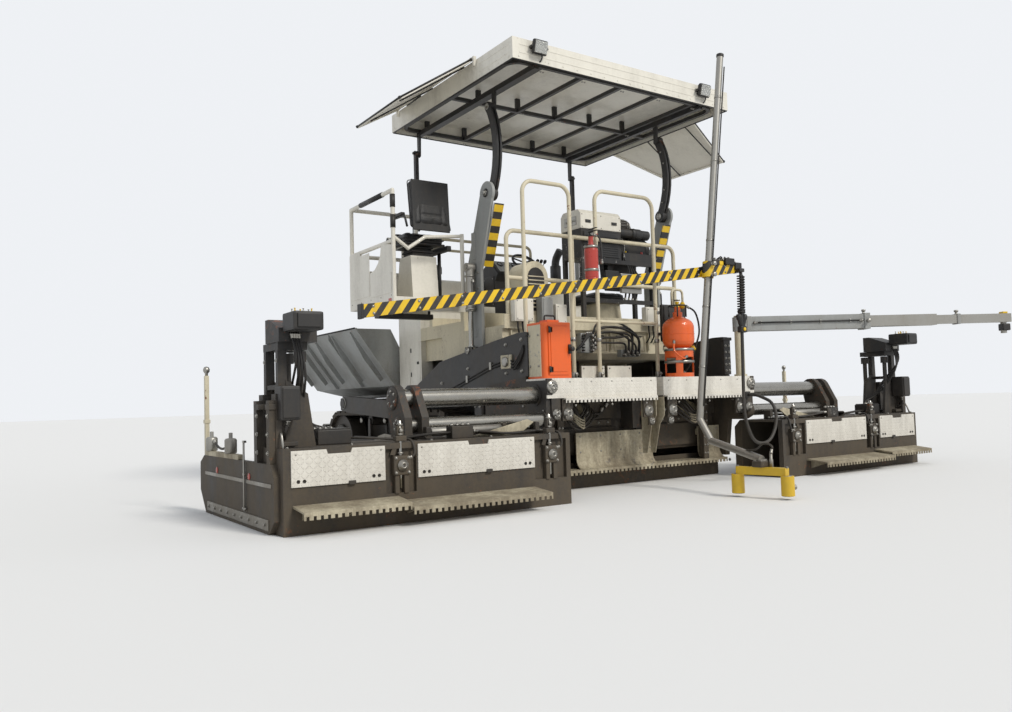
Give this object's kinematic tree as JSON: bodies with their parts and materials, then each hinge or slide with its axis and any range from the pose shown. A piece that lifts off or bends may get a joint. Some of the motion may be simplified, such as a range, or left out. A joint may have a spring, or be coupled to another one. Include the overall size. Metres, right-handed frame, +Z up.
{
  "type": "asphalt paver",
  "caption": "Tracked asphalt paver with a truck-fed hopper, spreading augers, an extending screed, a folding canopy and a levelling sensor on a pole.",
  "frame": {"origin": "on the ground, in the middle of the machine's overall length and width", "axes": "+X to the machine's right, +Y forward in the paving direction, +Z up; the ground is Z = 0"},
  "size_m": [7.2406, 7.4, 3.948],
  "materials": {
    "chassis": "satin black paint",
    "track_left": "worn black",
    "track_right": "worn black",
    "running_gear": "satin",
    "hopper_bed": "worn steel",
    "conveyor": "worn steel",
    "engine_block": "matt",
    "rear_body": "satin beige",
    "hood": "satin white",
    "platform": "satin beige",
    "console": "matt black",
    "seat_right": "matt black",
    "power_pack": "satin grey",
    "canopy_brackets": "satin",
    "auger_carrier": "satin",
    "push_beam": "satin",
    "push_roller_left": "worn steel",
    "push_roller_right": "worn steel",
    "auger_left": "worn steel",
    "auger_right": "worn steel",
    "wing_left": "satin grey",
    "wing_right": "satin grey",
    "station": "satin",
    "seat_left": "matt black",
    "canopy_links": "satin black",
    "canopy_posts": "satin black",
    "canopy_roof": "satin white",
    "canopy_ribs": "satin black",
    "work_lamps": "satin",
    "flap_left": "satin grey",
    "flap_right": "satin grey",
    "lift_barrels": "satin grey",
    "lift_rods": "polished",
    "tow_arms": "satin black",
    "screed_frame": "worn black",
    "screed_treads": "satin",
    "screed_steps": "worn beige",
    "rear_rails": "satin",
    "gas_bottle": "satin orange",
    "extinguisher": "gloss red",
    "tool_cabinet": "satin orange",
    "striped_beam": "black and yellow stripes",
    "sensor_pole": "satin grey",
    "sensor_head": "satin yellow",
    "extension_left": "worn black",
    "extension_right": "worn black",
    "tubes_left": "ground steel",
    "tubes_right": "ground steel",
    "covers_left": "tread plate",
    "covers_right": "tread plate",
    "boards_left": "worn beige",
    "boards_right": "worn beige",
    "gate_left": "worn black",
    "gate_right": "worn black",
    "boom_outer": "satin grey",
    "boom_inner": "satin grey"
  },
  "bodies": {
    "tractor": {"chassis": "chassis", "track_left": "track_left", "track_right": "track_right", "running_gear": "running_gear", "hopper_bed": "hopper_bed", "conveyor": "conveyor", "engine_block": "engine_block", "rear_body": "rear_body", "hood": "hood", "platform": "platform", "console": "console", "seat_right": "seat_right", "power_pack": "power_pack", "canopy_brackets": "canopy_brackets", "auger_carrier": "auger_carrier"},
    "push_beam": {"push_beam": "push_beam"},
    "push_roller_left": {"push_roller_left": "push_roller_left"},
    "push_roller_right": {"push_roller_right": "push_roller_right"},
    "auger_left": {"auger_left": "auger_left"},
    "auger_right": {"auger_right": "auger_right"},
    "wing_left": {"wing_left": "wing_left"},
    "wing_right": {"wing_right": "wing_right"},
    "station": {"station": "station", "seat_left": "seat_left"},
    "canopy_links": {"canopy_links": "canopy_links"},
    "canopy": {"canopy_roof": "canopy_roof", "canopy_ribs": "canopy_ribs", "work_lamps": "work_lamps"},
    "canopy_posts": {"canopy_posts": "canopy_posts"},
    "flap_left": {"flap_left": "flap_left"},
    "flap_right": {"flap_right": "flap_right"},
    "screed": {"tow_arms": "tow_arms", "screed_frame": "screed_frame", "screed_treads": "screed_treads", "rear_rails": "rear_rails", "gas_bottle": "gas_bottle", "extinguisher": "extinguisher", "tool_cabinet": "tool_cabinet", "striped_beam": "striped_beam", "screed_steps": "screed_steps"},
    "lift_barrels": {"lift_barrels": "lift_barrels"},
    "lift_rods": {"lift_rods": "lift_rods"},
    "sensor": {"sensor_pole": "sensor_pole", "sensor_head": "sensor_head"},
    "extension_left": {"extension_left": "extension_left", "tubes_left": "tubes_left", "covers_left": "covers_left", "boards_left": "boards_left"},
    "extension_right": {"extension_right": "extension_right", "tubes_right": "tubes_right", "covers_right": "covers_right", "boards_right": "boards_right"},
    "gate_left": {"gate_left": "gate_left"},
    "gate_right": {"gate_right": "gate_right"},
    "boom_outer": {"boom_outer": "boom_outer"},
    "boom_inner": {"boom_inner": "boom_inner"}
  },
  "joints": [
    {"name": "push_beam_swing", "type": "hinge", "parent": "tractor", "child": "push_beam", "pos_m": [0, 3.45, 0.46], "axis": [0, 0, 1], "range_deg": [-10, 10]},
    {"name": "push_roller_left_spin", "type": "hinge", "parent": "push_beam", "child": "push_roller_left", "pos_m": [-0.59, 3.61, 0.46], "axis": [1, 0, 0], "continuous": true},
    {"name": "push_roller_right_spin", "type": "hinge", "parent": "push_beam", "child": "push_roller_right", "pos_m": [0.59, 3.61, 0.46], "axis": [1, 0, 0], "continuous": true},
    {"name": "auger_left_spin", "type": "hinge", "parent": "tractor", "child": "auger_left", "pos_m": [-0.6, -1, 0.36], "axis": [1, 0, 0], "continuous": true},
    {"name": "auger_right_spin", "type": "hinge", "parent": "tractor", "child": "auger_right", "pos_m": [0.6, -1, 0.36], "axis": [1, 0, 0], "continuous": true},
    {"name": "wing_left_fold", "type": "hinge", "parent": "tractor", "child": "wing_left", "pos_m": [-0.79, 1.8, 0.912], "axis": [0, 1, 0], "range_deg": [0, 50]},
    {"name": "wing_right_fold", "type": "hinge", "parent": "tractor", "child": "wing_right", "pos_m": [0.79, 1.8, 0.912], "axis": [0, -1, 0], "range_deg": [0, 50]},
    {"name": "station_slide", "type": "slide", "parent": "tractor", "child": "station", "axis": [-1, 0, 0], "range_m": [-0.4, 0]},
    {"name": "canopy_fold", "type": "hinge", "parent": "tractor", "child": "canopy_links", "pos_m": [0, -1.3, 2.75], "axis": [-1, 0, 0], "range_deg": [0, 65]},
    {"name": "canopy_level", "type": "hinge", "parent": "canopy_links", "child": "canopy", "pos_m": [0, -1.3, 3.58], "axis": [-1, 0, 0], "range_deg": [-65, 0]},
    {"name": "canopy_post_swing", "type": "hinge", "parent": "tractor", "child": "canopy_posts", "pos_m": [0, 0.2, 2.7], "axis": [-1, 0, 0], "range_deg": [0, 65]},
    {"name": "flap_left_fold", "type": "hinge", "parent": "canopy", "child": "flap_left", "pos_m": [-1.363, -0.7, 3.933], "axis": [0, 1, 0], "range_deg": [0, 205]},
    {"name": "flap_right_fold", "type": "hinge", "parent": "canopy", "child": "flap_right", "pos_m": [1.363, -0.7, 3.933], "axis": [0, -1, 0], "range_deg": [0, 205]},
    {"name": "screed_lift", "type": "hinge", "parent": "tractor", "child": "screed", "pos_m": [0, 1.9, 0.83], "axis": [-1, 0, 0], "range_deg": [0, 6]},
    {"name": "lift_barrel_tilt", "type": "hinge", "parent": "tractor", "child": "lift_barrels", "pos_m": [0, -1.06, 2.08], "axis": [1, 0, 0], "range_deg": [0, 8]},
    {"name": "lift_rod_slide", "type": "slide", "parent": "lift_barrels", "child": "lift_rods", "axis": [0, 0, 1], "range_m": [0, 0.31]},
    {"name": "sensor_pole_slide", "type": "slide", "parent": "screed", "child": "sensor", "axis": [0.1372, 0, 0.9905], "range_m": [0, 0.5]},
    {"name": "extension_left_slide", "type": "slide", "parent": "screed", "child": "extension_left", "axis": [-1, 0, 0], "range_m": [-1.1, 0]},
    {"name": "extension_right_slide", "type": "slide", "parent": "screed", "child": "extension_right", "axis": [1, 0, 0], "range_m": [-1.1, 0]},
    {"name": "gate_left_lift", "type": "slide", "parent": "extension_left", "child": "gate_left", "axis": [0, 0, 1], "range_m": [0, 0.15]},
    {"name": "gate_right_lift", "type": "slide", "parent": "extension_right", "child": "gate_right", "axis": [0, 0, 1], "range_m": [0, 0.15]},
    {"name": "boom_swing", "type": "hinge", "parent": "screed", "child": "boom_outer", "pos_m": [1.205, -2.2, 1.5], "axis": [0, 0, 1], "range_deg": [-30, 60]},
    {"name": "boom_slide", "type": "slide", "parent": "boom_outer", "child": "boom_inner", "axis": [0.8572, -0.515, 0], "range_m": [-0.9, 0]}
  ],
  "couplings": [
    {"joint": "canopy_level", "follows": "canopy_fold", "ratio": -1},
    {"joint": "canopy_post_swing", "follows": "canopy_fold", "ratio": 1},
    {"joint": "lift_barrel_tilt", "follows": "screed_lift", "ratio": 1.264},
    {"joint": "lift_rod_slide", "follows": "screed_lift", "m_per_rad": 2.89}
  ]
}
